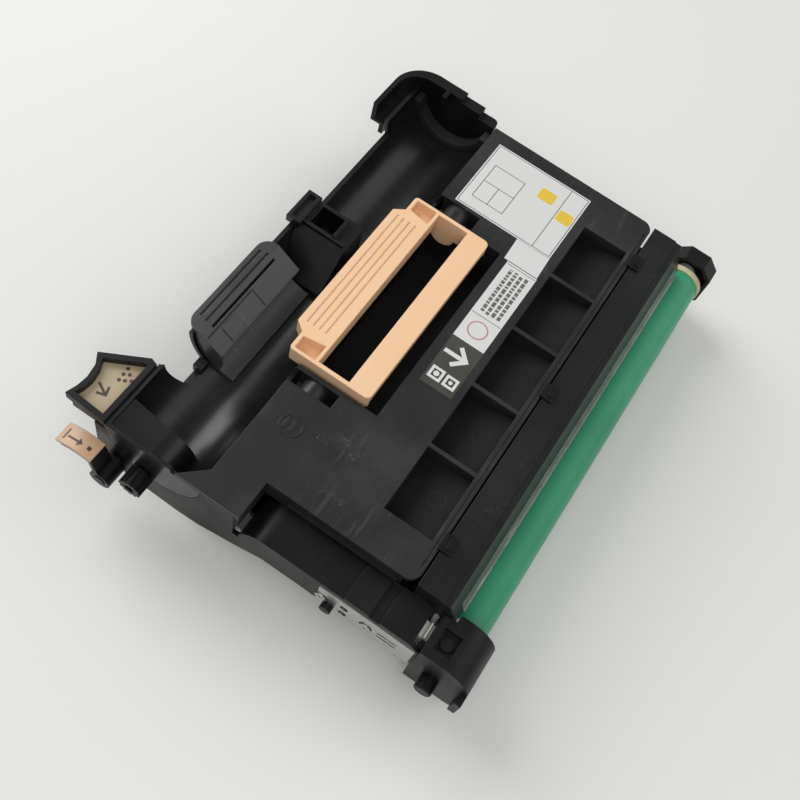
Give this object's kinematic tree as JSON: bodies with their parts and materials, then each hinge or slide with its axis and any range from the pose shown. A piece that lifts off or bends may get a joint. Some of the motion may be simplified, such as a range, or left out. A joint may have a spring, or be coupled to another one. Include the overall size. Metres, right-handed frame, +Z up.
{
  "type": "printer drum unit",
  "caption": "Flat drum and developer cartridge with a folding carry handle, an open bottle trough, sloping pockets and a green drum along one edge.",
  "frame": {"origin": "on the rest plane under the middle of the underside plate", "axes": "+Y along the drum's axis towards the far bracket, +Z up, +X from the bottle trough towards the drum"},
  "size_m": [0.222, 0.2984, 0.07],
  "materials": {
    "cover": "satin charcoal moulding",
    "trough": "gloss black moulding",
    "frame": "matt black moulding",
    "peach": "satin peach moulding",
    "steel": "plain steel",
    "drum": "glossy green coating on an aluminium tube",
    "cream": "cream plastic",
    "white": "white plastic",
    "rubber": "soft black rubber",
    "blade": "amber polyurethane",
    "sleeve": "blasted aluminium",
    "gear": "natural gear plastic",
    "paper": "white label",
    "tan": "tan label",
    "olive": "dark label",
    "film": "thin clear film"
  },
  "bodies": {
    "housing": {"top_cover": "cover", "bottle_trough": "trough", "lower_frame": "frame", "cleaner_beam": "cover", "cleaning_blade_bracket": "steel", "cleaning_blade": "blade", "lip_film": "film", "trimming_blade": "steel", "drum_shaft": "steel", "drum_near_bush": "frame", "near_bearing_block": "frame", "far_bracket": "frame", "drum_far_bush": "white", "magnet_core": "rubber", "near_end_cover": "frame", "contact_plate": "steel", "contact_boss": "frame", "ground_strip": "steel", "end_hood": "frame", "end_liner": "rubber", "grip_panel": "frame", "inlet_block": "trough", "rim_clip": "trough", "label_tray": "frame", "tray_label": "tan", "label_main": "paper", "label_blank": "paper", "label_strip": "paper", "label_dark": "olive", "snap_clips": "frame", "screws": "steel"},
    "drum": {"drum_tube": "drum", "drum_gear_flange": "white", "drum_end_ring": "cream"},
    "charge_roller": {"charge_roller_core": "steel", "charge_roller_rubber": "rubber"},
    "sleeve": {"developer_sleeve": "sleeve", "sleeve_gear": "gear"},
    "supply": {"supply_auger": "frame", "supply_gear": "gear"},
    "mixing": {"mixing_auger": "frame", "mixing_gear": "gear"},
    "idler_right": {"idler_gear_right": "gear"},
    "idler_middle": {"idler_gear_middle": "gear"},
    "idler_left": {"idler_gear_left": "gear"},
    "feed": {"feed_auger": "frame", "feed_gear": "gear"},
    "drive": {"drive_coupling": "frame"},
    "waste": {"waste_auger": "gear", "waste_gear": "gear"},
    "handle": {"carry_handle": "peach"},
    "lever": {"lock_lever": "frame", "lever_tab": "peach"},
    "shutter": {"inlet_shutter": "frame"}
  },
  "joints": [
    {"name": "drum_spin", "type": "hinge", "parent": "housing", "child": "drum", "pos_m": [0.0965, 0, 0.028], "axis": [0, 1, 0], "continuous": true},
    {"name": "charge_spin", "type": "hinge", "parent": "housing", "child": "charge_roller", "pos_m": [0.08008, 0, 0.0324], "axis": [0, 1, 0], "continuous": true},
    {"name": "sleeve_spin", "type": "hinge", "parent": "housing", "child": "sleeve", "pos_m": [0.07875, 0, 0.01775], "axis": [0, 1, 0], "continuous": true},
    {"name": "supply_spin", "type": "hinge", "parent": "housing", "child": "supply", "pos_m": [0.06168, 0, 0.0216], "axis": [0, 1, 0], "continuous": true},
    {"name": "mixing_spin", "type": "hinge", "parent": "housing", "child": "mixing", "pos_m": [0.04168, 0, 0.0216], "axis": [0, 1, 0], "continuous": true},
    {"name": "idler_right_spin", "type": "hinge", "parent": "housing", "child": "idler_right", "pos_m": [0.01968, 0, 0.0216], "axis": [0, 1, 0], "continuous": true},
    {"name": "idler_middle_spin", "type": "hinge", "parent": "housing", "child": "idler_middle", "pos_m": [-0.00232, 0, 0.0216], "axis": [0, 1, 0], "continuous": true},
    {"name": "idler_left_spin", "type": "hinge", "parent": "housing", "child": "idler_left", "pos_m": [-0.02432, 0, 0.0216], "axis": [0, 1, 0], "continuous": true},
    {"name": "feed_spin", "type": "hinge", "parent": "housing", "child": "feed", "pos_m": [-0.04632, 0, 0.0216], "axis": [0, 1, 0], "continuous": true},
    {"name": "drive_spin", "type": "hinge", "parent": "housing", "child": "drive", "pos_m": [-0.063, 0, 0.03595], "axis": [0, 1, 0], "continuous": true},
    {"name": "waste_spin", "type": "hinge", "parent": "housing", "child": "waste", "pos_m": [0.08364, 0, 0.04332], "axis": [0, 1, 0], "continuous": true},
    {"name": "handle_pivot", "type": "hinge", "parent": "housing", "child": "handle", "pos_m": [-0.021, 0, 0.054], "axis": [0, 1, 0], "range_deg": [0, 88]},
    {"name": "lever_pivot", "type": "hinge", "parent": "housing", "child": "lever", "pos_m": [-0.078, -0.145, 0.03], "axis": [0, 1, 0], "range_deg": [0, 35]},
    {"name": "shutter_slide", "type": "slide", "parent": "housing", "child": "shutter", "axis": [0, 1, 0], "range_m": [0, 0.01]}
  ],
  "couplings": [
    {"joint": "sleeve_spin", "follows": "drum_spin", "ratio": -2.1538},
    {"joint": "supply_spin", "follows": "drum_spin", "ratio": 1.2727},
    {"joint": "mixing_spin", "follows": "drum_spin", "ratio": -1.5556},
    {"joint": "idler_right_spin", "follows": "drum_spin", "ratio": 1.0769},
    {"joint": "idler_middle_spin", "follows": "drum_spin", "ratio": -1.5556},
    {"joint": "idler_left_spin", "follows": "drum_spin", "ratio": 1.0769},
    {"joint": "feed_spin", "follows": "drum_spin", "ratio": -1.5556},
    {"joint": "drive_spin", "follows": "drum_spin", "ratio": 1.0769},
    {"joint": "waste_spin", "follows": "drum_spin", "ratio": -2.3333},
    {"joint": "charge_spin", "follows": "drum_spin", "ratio": -2.5532}
  ]
}
